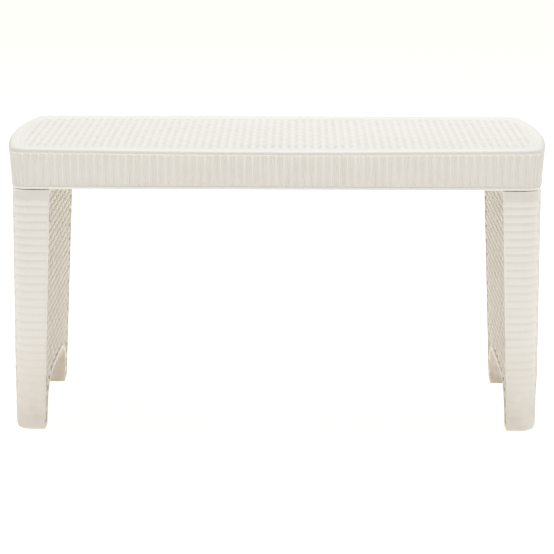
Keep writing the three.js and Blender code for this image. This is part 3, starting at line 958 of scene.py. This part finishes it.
def make_underside():
    half, low, high = RIB_THICKNESS / 2, UNDERSIDE - RIB_HEIGHT, UNDERSIDE + 0.5 * MM
    half_depth = SEAT_DEPTH / 2 - EDGE_ROUND / 2 - SEAT_WALL
    ribs = [block((x - half, -half_depth, low), (x + half, half_depth, high))
            for x in rib_places(SEAT_LENGTH)]
    for y in rib_places(SEAT_DEPTH):
        reach = tray_half_length(y)
        ribs.append(block((-reach, y - half, low), (reach, y + half, high)))
    room_foot, room_top = SKIRT_FOOT - 5 * MM, UNDERSIDE - 0.2 * MM
    room = joined([upright_block(x, y, SOCKET_CLEARANCE, room_foot, room_top) for x, y in CORNERS])
    pieces = [carved(rib, room) for rib in ribs]
    socket_foot = SKIRT_FOOT - 0.9 * MM
    for x, y in CORNERS:
        socket = upright_block(x, y, SOCKET_CLEARANCE + SOCKET_WALL, socket_foot, high)
        pieces.append(carved(socket, room))
    mesh = joined(pieces)
    stand_high(mesh)
    finish_piece("underside_ribs", mesh, seat_plastic)


make_underside()

# %% [markdown]
# ## The end frames
#
# Each end is one hollow moulding: two legs that taper to the floor, a web that joins them, and a low
# arch between the feet. It is drawn once, for the right-hand end. All its insets are linear mixes
# between foot and top, which is what gives the bench its slight splay.

# %% The tapering block and what is cut from it
def mix(foot, top, z):
    return foot + (top - foot) * z / FRAME_TOP


def face_y(z):
    return SEAT_DEPTH / 2 - mix(FACE_INSET_FOOT, FACE_INSET_TOP, z)


def inner_x(z):
    width = mix(SIDE_INSET_FOOT + LEG_WIDTH_FOOT, SIDE_INSET_TOP + LEG_WIDTH_TOP, z)
    return SEAT_LENGTH / 2 - END_BOW - width


def outer_half_length(z):
    return SEAT_LENGTH / 2 - mix(SIDE_INSET_FOOT, SIDE_INSET_TOP, z)


ARCH_HALF = face_y(0) - FOOT_DEPTH
FOOT_STEPS, ARCH_STEPS = 5, 96


def frame_block(shrink):
    row = lambda z, inset: (outer_half_length(z), face_y(z), inset, z)
    rows = []
    for i in range(FOOT_STEPS + 1):
        angle = math.pi / 2 * i / FOOT_STEPS
        z = FOOT_LIFT + shrink + FOOT_ROUND * (1 - math.cos(angle))
        rows.append(row(z, shrink + FOOT_ROUND * (1 - math.sin(angle))))
    rows.append(row(FRAME_TOP - shrink, shrink))
    return mesh_of("frame block", *stack(rows, across=4))


def slab(inner_shift, outer_shift):
    """The space between two planes that follow the slanting inner face."""
    low, high = -20 * MM, SEAT_TOP + 20 * MM
    outline = [
        (inner_x(low) + inner_shift, low), (inner_x(low) + outer_shift, low),
        (inner_x(high) + outer_shift, high), (inner_x(high) + inner_shift, high),
    ]
    return swept_outline(outline, lambda x, z, y: (x, y, z), -SEAT_DEPTH, SEAT_DEPTH)


def arch_block(grow):
    bent = lambda value: math.copysign(abs(value) ** (2 / ARCH_SQUARENESS), value)
    half, height = ARCH_HALF + grow, ARCH_HEIGHT + grow
    outline = []
    for i in range(ARCH_STEPS):
        angle = 2 * math.pi * (i + 0.5) / ARCH_STEPS
        outline.append((half * bent(math.cos(angle)), height * bent(math.sin(angle))))
    return swept_outline(outline, lambda y, z, x: (x, y, z), 0.1, SEAT_LENGTH)


# %% Carve the frame
GLIDE_RADIUS, GLIDE_SUNK = 15 * MM, 2 * MM
STEM_RADIUS, STEM_LENGTH = 4.5 * MM, 12 * MM
HOLE_CLEARANCE = 0.4 * MM
FRAME_SOFTENING, COVER_SOFTENING = 1.2 * MM, 0.5 * MM
GLIDE_X, GLIDE_Y = inner_x(0) + LEG_WIDTH_FOOT / 2, face_y(0) - FOOT_DEPTH / 2


def arch_reach(z, grow):
    """Half the width of the arch at a height, with its outline grown outwards."""
    share = min(z / (ARCH_HEIGHT + grow), 1.0)
    return (ARCH_HALF + grow) * (1 - share**ARCH_SQUARENESS) ** (1 / ARCH_SQUARENESS)


def clear_of_arch(y, z, grow):
    return z >= ARCH_HEIGHT + grow or abs(y) > arch_reach(z, grow)


def glide_room():
    seat = FOOT_LIFT + GLIDE_SUNK
    wide, narrow = GLIDE_RADIUS + HOLE_CLEARANCE, STEM_RADIUS + HOLE_CLEARANCE
    profile = [(0, -5 * MM), (wide, -5 * MM), (wide, seat), (narrow, seat), (narrow, seat + STEM_LENGTH),
               (0, seat + STEM_LENGTH)]
    room = turned(profile, 40)
    return joined([moved(room, Matrix.Translation((GLIDE_X, side * GLIDE_Y, 0))) for side in (-1, 1)])


def tenon(side):
    top, root = SKIRT_FOOT - SOLID_SEAM + TENON_HEIGHT, FRAME_TOP - FRAME_WALL / 2
    solid = upright_block(1, side, 0, root, top)
    return carved(solid, upright_block(1, side, -TENON_WALL, root - 5 * MM, top - TENON_WALL))


def soften_edges(mesh, width):
    """Rounds the moulding's sharp edges a little, as every mould does."""
    piece = object_of("soften", mesh)
    bevel = piece.modifiers.new("bevel", "BEVEL")
    bevel.width, bevel.segments, bevel.limit_method = width, 2, "ANGLE"
    bevel.angle_limit = math.radians(50)
    bevel.use_clamp_overlap = True
    result = evaluated_mesh(piece)
    bpy.data.objects.remove(piece)
    return result


def frame_mesh():
    body = carved(frame_block(0), slab(0, 1), "INTERSECT")
    body = carved(body, arch_block(0))
    body = soften_edges(body, FRAME_SOFTENING)
    hollow = carved(frame_block(FRAME_WALL), arch_block(FRAME_WALL))
    body = carved(body, hollow)
    for side in (-1, 1):
        body = carved(body, tenon(side), "UNION")
    return carved(body, glide_room())


# %% Finish both frames
# Painted shade on the frames: the legs are painted darker towards the feet, and darkest inside the arch.
SHADE_FADE_HEIGHT, FOOT_SHADE_CREST = 190 * MM, 0.45


def painted_shade_crest(place):
    """Painted shade: darker towards the feet, and darkest on the faces inside the arch."""
    lit_share = FOOT_SHADE_CREST + (1 - FOOT_SHADE_CREST) * ease(place.z / SHADE_FADE_HEIGHT)
    inside = place.z < ARCH_HEIGHT + 2 * MM and abs(place.y) < arch_reach(place.z, 3 * MM)
    return 0.0 if inside else lit_share


right_frame = frame_mesh()
for end, mesh in (("right", right_frame), ("left", other_end(right_frame))):
    # painted shade: darker towards the feet and inside the arch
    store_crest(mesh, painted_shade_crest)
    finish_piece(f"end_frame_{end}_moulding", mesh, frame_plastic, [f"end_frame_{end}"])

# %% [markdown]
# ## The reeds on the frames
#
# The wrap runs round each end in level rows, from one inner edge over the bowed face to the other.
# On the narrow faces of the legs it is only a faint ripple, but on the outer face it is a real weave.
# A row that meets the arch is split in two. Each point of a row asks the outline where the surface
# is, so the rows follow both the bow and the taper.

# %% Level rows round an end
ROW_TOP_MARGIN, ROW_FOOT_MARGIN = 8 * MM, 14 * MM


def row_heights(low, high):
    count = int((high - low) / REED_PITCH)
    spare = (high - low - count * REED_PITCH) / 2
    return [low + spare + (i + 0.5) * REED_PITCH for i in range(count)]


def wrap_row(z):
    """Points and outward directions round the right-hand end, from the front to the rear."""
    first = Vector((inner_x(z) + 1.5 * MM, -face_y(z)))
    outline = front_half(outer_half_length(z), face_y(z), 0)
    front = [first] + [p for p in outline if p.x > first.x + 1 * MM]
    row = front + [Vector((p.x, -p.y)) for p in reversed(front[:-1])]
    lifts = []
    for i, place in enumerate(row):
        ahead = row[min(i + 1, len(row) - 1)] - row[max(i - 1, 0)]
        ahead.normalize()
        lifts.append((ahead.y, -ahead.x, 0.0))
    return [(Vector((p.x, p.y, z)), lift) for p, lift in zip(row, lifts)]


def runs(row, keep):
    """Splits a row into the stretches of points that keep() accepts."""
    current, found = [], []
    for place, lift in row:
        if keep(place):
            current.append((place, lift))
        elif current:
            found.append(current)
            current = []
    found.append(current)
    return [run for run in found if len(run) > 1]


def refined(row, step):
    fine = []
    for (one, lift_one), (other, lift_other) in zip(row, row[1:]):
        pieces = max(1, math.ceil((other - one).length / step))
        for j in range(pieces):
            share = j / pieces
            lift = Vector(lift_one).lerp(Vector(lift_other), share).normalized()
            fine.append((one.lerp(other, share), tuple(lift)))
    return fine + [row[-1]]


def wrap_guides(keep_at, sunk):
    lines = []
    heights = row_heights(ROW_FOOT_MARGIN, FRAME_TOP - ROW_TOP_MARGIN)
    for k, z in enumerate(heights):
        for run in runs(refined(wrap_row(z), 3 * MM), lambda p: keep_at(p, z)):
            line = [p - Vector(lift) * sunk for p, lift in run]
            lines.append((line, [lift for _, lift in run], math.pi * k))
    return lines


def corner_start(z):
    return face_y(z) - CORNER_RADIUS * 0.8


# %% Grow the wrap
OUTER_RELIEF, OUTER_WAVE, OUTER_SUNK = 1.5 * MM, 0.35 * MM, 0.5 * MM
OUTER_CREST, FACE_CREST = 0.8, 1.0
FACE_SUNK, FACE_ROUNDNESS = 0.1 * MM, 0.4


def make_wrap():
    outer = lambda p, z: abs(p.y) < corner_start(z) and clear_of_arch(p.y, z, PANEL_BORDER)
    faces = lambda p, z: abs(p.y) >= corner_start(z)
    woven = grow(
        guide_object("outer rows", wrap_guides(outer, OUTER_SUNK + OUTER_WAVE)), strands_along_guides,
        width=REED_PITCH - REED_GAP, thickness=OUTER_RELIEF, wave_height=OUTER_WAVE, crease=CREASE,
        material=frame_plastic)
    ripple = grow(
        guide_object("face rows", wrap_guides(faces, FACE_SUNK)), strands_along_guides,
        width=REED_PITCH, thickness=FACE_RELIEF + FACE_SUNK, crease=0.0, roundness=FACE_ROUNDNESS,
        step=3 * MM, material=frame_plastic)
    for name, mesh, height in (("outer_weave", woven, OUTER_CREST), ("leg_face_reeds", ripple, FACE_CREST)):
        for end, own in (("right", mesh), ("left", other_end(mesh))):
            # painted shade on the wrap: darker towards the feet and inside the arch
            store_crest(own, lambda place: height * painted_shade_crest(place))
            finish_piece(f"{name}_{end}", own, frame_plastic)


make_wrap()

# %% [markdown]
# ## The inner covers
#
# The hollow of each frame is closed from inside by a thin sheet with the clearest weave on the bench:
# level strands, each over one upright stake and under the next, one step out of line with the row
# below. The weave lies in a shallow pocket with a narrow plain border. Four round pads interrupt it, where
# screws hold the sheet, and the strands stop short of them.

# %% The cover sheet
PAD_RADIUS, HEAD_ROOM, HEAD_DEPTH, SCREW_HOLE = 7 * MM, 4.4 * MM, 3 * MM, 2.4 * MM
COVER_INSET = FRAME_WALL + COVER_GAP
SCREW_RISE, SCREW_DROP = 70 * MM, 50 * MM
SCREW_HEIGHTS = (SCREW_RISE, SKIRT_FOOT - SOLID_SEAM - SCREW_DROP)


def screw_y(z):
    return face_y(z) - FOOT_DEPTH / 2


PADS = [(side * screw_y(z), z) for z in SCREW_HEIGHTS for side in (-1, 1)]


def rod(radius, start, stop, y, z, sides=32):
    solid = turned([(0, start), (radius, start), (radius, stop), (0, stop)], sides)
    return moved(solid, Matrix.Translation((0, y, z)) @ Matrix.Rotation(math.pi / 2, 4, "Y"))


def panel_solid(inset, inner_shift, outer_shift):
    solid = carved(frame_block(inset), arch_block(inset))
    return carved(solid, slab(inner_shift, outer_shift), "INTERSECT")


def cover_mesh():
    sheet = panel_solid(COVER_INSET, 0, COVER_THICKNESS + PANEL_RELIEF)
    pocket = panel_solid(COVER_INSET + PANEL_BORDER, -5 * MM, PANEL_RELIEF)
    islands = joined([rod(PAD_RADIUS, 0.1, SEAT_LENGTH, y, z) for y, z in PADS])
    sheet = carved(sheet, carved(pocket, islands))
    for y, z in PADS:
        sheet = carved(sheet, rod(HEAD_ROOM, 0.1, inner_x(z) + HEAD_DEPTH, y, z))
        sheet = carved(sheet, rod(SCREW_HOLE, 0.1, SEAT_LENGTH, y, z))
    return soften_edges(sheet, COVER_SOFTENING)


right_cover = cover_mesh()
for end, mesh in (("right", right_cover), ("left", other_end(right_cover))):
    depth_of = lambda p: abs(p.x) - inner_x(p.z)
    # the pocket floor is painted darker than the border, as dust and painted shade
    store_crest(mesh, lambda p: 1.0 if depth_of(p) < 1 * MM else 0.0)
    finish_piece(f"cover_sheet_{end}", mesh, shaded_cover_plastic, [f"inner_cover_{end}"])

# %% The weave on the covers
PANEL_WAVE = 0.9 * MM
PANEL_STRAND, PANEL_CREASE, PANEL_ROUNDNESS = 2.1 * MM, 0.5 * MM, 0.7
PANEL_STAKE = 1.5 * MM
PANEL_STEPS, STAKE_CUTS = 100, 60
STRAND_PAD_GAP, STAKE_PAD_GAP = 3 * MM, 4 * MM


def panel_half_depth(z, inset):
    return face_y(z) - inset


def panel_lift():
    slope = (inner_x(FRAME_TOP) - inner_x(0)) / FRAME_TOP
    return Vector((-1, 0, slope)).normalized()


def cover_strand_guides():
    lift, inset = panel_lift(), COVER_INSET + PANEL_BORDER
    shift = PANEL_STRAND + PANEL_WAVE
    lines = []
    heights = row_heights(FOOT_LIFT + inset, FRAME_TOP - inset)
    for k, z in enumerate(heights):
        reach = panel_half_depth(z, inset) + 1 * MM
        x = inner_x(z) + shift
        places = [reach * (i / PANEL_STEPS - 1) for i in range(2 * PANEL_STEPS + 1)]
        row = [(Vector((x, y, z)), tuple(lift)) for y in places]
        keep = lambda p: clear_of_arch(p.y, p.z + 5 * MM, inset) and all(
            math.hypot(p.y - y, p.z - pad_z) > PAD_RADIUS + STRAND_PAD_GAP for y, pad_z in PADS)
        for run in runs(row, keep):
            lines.append(([p for p, _ in run], [one for _, one in run], math.pi * k))
    return lines


def cover_stake_guides():
    lift, inset = panel_lift(), COVER_INSET + PANEL_BORDER
    lines = []
    for y in stake_places(panel_half_depth(0, inset) - STAKE_WIDTH):
        low = FOOT_LIFT + inset
        if abs(y) < ARCH_HALF + inset:
            share = abs(y) / (ARCH_HALF + inset)
            low = (ARCH_HEIGHT + inset) * (1 - share**ARCH_SQUARENESS) ** (1 / ARCH_SQUARENESS)
        heights = [low + (FRAME_TOP - inset - low) * i / STAKE_CUTS for i in range(STAKE_CUTS + 1)]
        shift = PANEL_RELIEF + 0.2 * MM
        row = [(Vector((inner_x(z) + shift, y, z)), tuple(lift)) for z in heights]
        keep = lambda p: all(
            math.hypot(p.y - pad_y, p.z - z) > PAD_RADIUS + STAKE_PAD_GAP for pad_y, z in PADS)
        for run in runs(row, keep):
            lines.append(([p for p, _ in run], [one for _, one in run], 0.0))
    return lines


def make_cover_weave():
    depth_of = lambda place: abs(place.x) - inner_x(place.z)
    strands = grow(
        guide_object("cover strand guides", cover_strand_guides()), strands_along_guides,
        width=REED_PITCH - REED_GAP, thickness=PANEL_STRAND, wave_height=PANEL_WAVE,
        crease=PANEL_CREASE, roundness=PANEL_ROUNDNESS, step=4 * MM, material=shaded_cover_plastic)
    stakes = grow(
        guide_object("cover stake guides", cover_stake_guides()), strands_along_guides,
        width=STAKE_WIDTH, thickness=PANEL_STAKE, crease=0.0, step=24 * MM, material=shaded_cover_plastic)
    for name, mesh in (("cover_strands", strands), ("cover_stakes", stakes)):
        # painted darker with depth below the cover's face, as dust and painted shade
        store_crest(mesh, crest_by_depth(depth_of, PANEL_RELIEF))
        for end, own in (("right", mesh), ("left", other_end(mesh))):
            finish_piece(f"{name}_{end}", own, shaded_cover_plastic)


make_cover_weave()

# %% [markdown]
# ## Screws, washers and glides
#
# The fasteners are ordinary zinc-plated ones: pan heads with a cross recess, self-tapping threads
# that bite into the plastic, plain washers. The glides are softer plastic buttons with a barbed stem.
# All are turned from a profile, and each takes its place and its length from its own CAD box.

# %% A pan-headed screw along +X from its head
THREAD_PITCH, SCREW_TIP, THREAD_ROOT = 1.4 * MM, 4 * MM, 0.72


def screw_mesh(head_radius, head_height, shank_radius, total):
    profile = [(0, 0), (0.45, 0), (0.7, 0.1), (0.9, 0.38), (1, 0.75), (0.97, 1)]
    profile = [(head_radius * r, head_height * a) for r, a in profile]
    profile.append((shank_radius * 0.8, head_height))
    along = head_height + THREAD_PITCH
    while along < total - 0.4 * MM:
        taper = min(1.0, (total - along) / SCREW_TIP)
        root = shank_radius * THREAD_ROOT * taper
        profile += [
            (root, along), (shank_radius * taper, along + 0.35 * THREAD_PITCH),
            (root, along + 0.6 * THREAD_PITCH)]
        along += THREAD_PITCH
    profile.append((0, total))
    profile = [(r, min(a, total)) for r, a in profile]
    solid = turned(profile, 24)
    arm, width = head_radius * 0.55, head_radius * 0.14
    for half_x, half_y in ((arm, width), (width, arm)):
        recess = block((-half_x, -half_y, -head_height), (half_x, half_y, head_height * 0.55))
        solid = carved(solid, recess)
    solid.transform(Matrix.Rotation(math.pi / 2, 4, "Y"))
    return solid


# %% Place the fasteners in their CAD boxes
WASHER_HOLE, WASHER_RIM = 3 * MM, 0.15 * MM
BUTTON_HEIGHT, BARB_PITCH, BARB_LENGTH = 3.5 * MM, 2.6 * MM, 2 * MM
BARB_ROOT, STEM_TIP = 0.8 * STEM_RADIUS, 0.55 * STEM_RADIUS


def facing_end(side):
    return Matrix.Identity(4) if side > 0 else Matrix.Rotation(math.pi, 4, "Z")


def place_screws(prefix, head_radius, head_height, shank_radius):
    for node in [name for name in NODES if name.startswith(prefix)]:
        low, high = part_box(node)
        side = 1 if low.x > 0 else -1
        mesh = screw_mesh(head_radius, head_height, shank_radius, high.x - low.x)
        head = Vector((low.x if side > 0 else high.x, (low.y + high.y) / 2, (low.z + high.z) / 2))
        mesh.transform(Matrix.Translation(head) @ facing_end(side))
        finish_piece(f"{node}_steel", mesh, zinc_steel, [node])


def place_washers():
    for node in [name for name in NODES if name.startswith("lock_washer")]:
        low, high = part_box(node)
        outer, thick = (high.z - low.z) / 2, high.x - low.x
        rim = WASHER_RIM
        profile = [
            (WASHER_HOLE, 0), (outer - rim, 0), (outer, rim), (outer, thick - rim),
            (outer - rim, thick), (WASHER_HOLE, thick), (WASHER_HOLE, 0)]
        mesh = turned(profile, 36)
        mesh.transform(
            Matrix.Translation((low.x, (low.y + high.y) / 2, (low.z + high.z) / 2))
            @ Matrix.Rotation(math.pi / 2, 4, "Y"))
        outwards(mesh)
        finish_piece(f"{node}_steel", mesh, zinc_steel, [node])


def place_glides():
    for node in [name for name in NODES if name.startswith("foot_glide")]:
        low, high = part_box(node)
        radius, tall = (high.x - low.x) / 2, high.z - low.z
        profile = [
            (0, 0), (radius - 1.5 * MM, 0), (radius - 0.5 * MM, 0.4 * MM), (radius, 1.4 * MM),
            (radius, BUTTON_HEIGHT), (BARB_ROOT, BUTTON_HEIGHT)]
        barb = BUTTON_HEIGHT + BARB_LENGTH
        while barb + BARB_PITCH < tall:
            profile += [(BARB_ROOT, barb), (STEM_RADIUS, barb), (BARB_ROOT, barb + BARB_LENGTH)]
            barb += BARB_PITCH
        profile += [(STEM_TIP, tall), (0, tall)]
        mesh = turned(profile, 40)
        mesh.transform(Matrix.Translation(((low.x + high.x) / 2, (low.y + high.y) / 2, low.z)))
        stand_high(mesh)
        finish_piece(f"{node}_button", mesh, glide_plastic, [node])


NODES = [f"cover_screw_{end}_{face}_{level}"
         for end in ("left", "right") for face in ("front", "rear") for level in ("lower", "upper")]
NODES += [f"{kind}_{end}_{face}" for kind in ("lock_screw", "lock_washer", "foot_glide")
          for end in ("left", "right") for face in ("front", "rear")]
place_screws("cover_screw", head_radius=4 * MM, head_height=2.4 * MM, shank_radius=2 * MM)
place_screws("lock_screw", head_radius=5 * MM, head_height=3.4 * MM, shank_radius=2.5 * MM)
place_washers()
place_glides()

# %% [markdown]
# ## Studio
#
# The bench stands in a plain white studio: a bright floor that runs out to the same white as the
# wall, one very large soft light overhead, and an even fill from all sides. Plastic this pale shows
# its relief only by small changes of tone, so the light comes mostly from above and a little from
# behind, and leaves the faces towards the camera one step darker than the top.

# %% Camera
def aim(location, heading, pitch, roll, lens):
    camera = bpy.data.cameras.new("camera")
    camera.lens, camera.sensor_width = lens, 36
    camera.clip_start, camera.clip_end = 0.1, 200
    stand = object_of("camera", camera)
    stand.location = location
    tilt = Matrix.Rotation(math.radians(90 - pitch), 4, "X")
    turn = Matrix.Rotation(math.radians(heading), 4, "Z")
    stand.rotation_euler = (turn @ tilt @ Matrix.Rotation(math.radians(roll), 4, "Z")).to_euler()
    bpy.context.scene.camera = stand


aim(location=(0.0316, -4.41, 0.9575), heading=0.41, pitch=9.606, roll=0.17, lens=177.9)


# %% Lights
def softbox(name, location, target, size, power, colour=(1, 1, 1)):
    light = bpy.data.lights.new(name, "AREA")
    light.shape = "RECTANGLE"
    light.size, light.size_y = size
    light.energy = power
    light.color = colour
    lamp = object_of(name, light)
    lamp.location = location
    lamp.rotation_euler = (Vector(target) - Vector(location)).to_track_quat("-Z", "Y").to_euler()


world = bpy.data.worlds.new("studio")
bpy.context.scene.world = world
world.use_nodes = True
sky = world.node_tree.nodes["Background"]
sky.inputs["Color"].default_value = (1.0, 0.93, 0.84, 1)
sky.inputs["Strength"].default_value = 0.48
bpy.context.scene.view_settings.view_transform = "Standard"
softbox("overhead softbox", (0.1, 0.5, 3.2), (0, 0, 0.4), (2.4, 2.0), 73, (0.92, 0.965, 1))


# %% Floor
FLOOR_RADIUS, FLOOR_GLOW = 40, 0.6


def make_floor():
    work = bmesh.new()
    bmesh.ops.create_circle(work, cap_ends=True, segments=64, radius=FLOOR_RADIUS)
    mesh = bpy.data.meshes.new("floor")
    work.to_mesh(mesh)
    work.free()
    material = bpy.data.materials.new("white floor")
    material.use_nodes = True
    shader = material.node_tree.nodes["Principled BSDF"]
    shader.inputs["Base Color"].default_value = (0.92, 0.92, 0.92, 1)
    shader.inputs["Roughness"].default_value = 0.9
    shader.inputs["Emission Color"].default_value = (1, 0.985, 0.955, 1)
    shader.inputs["Emission Strength"].default_value = FLOOR_GLOW
    mesh.materials.append(material)
    object_of("floor", mesh)


make_floor()
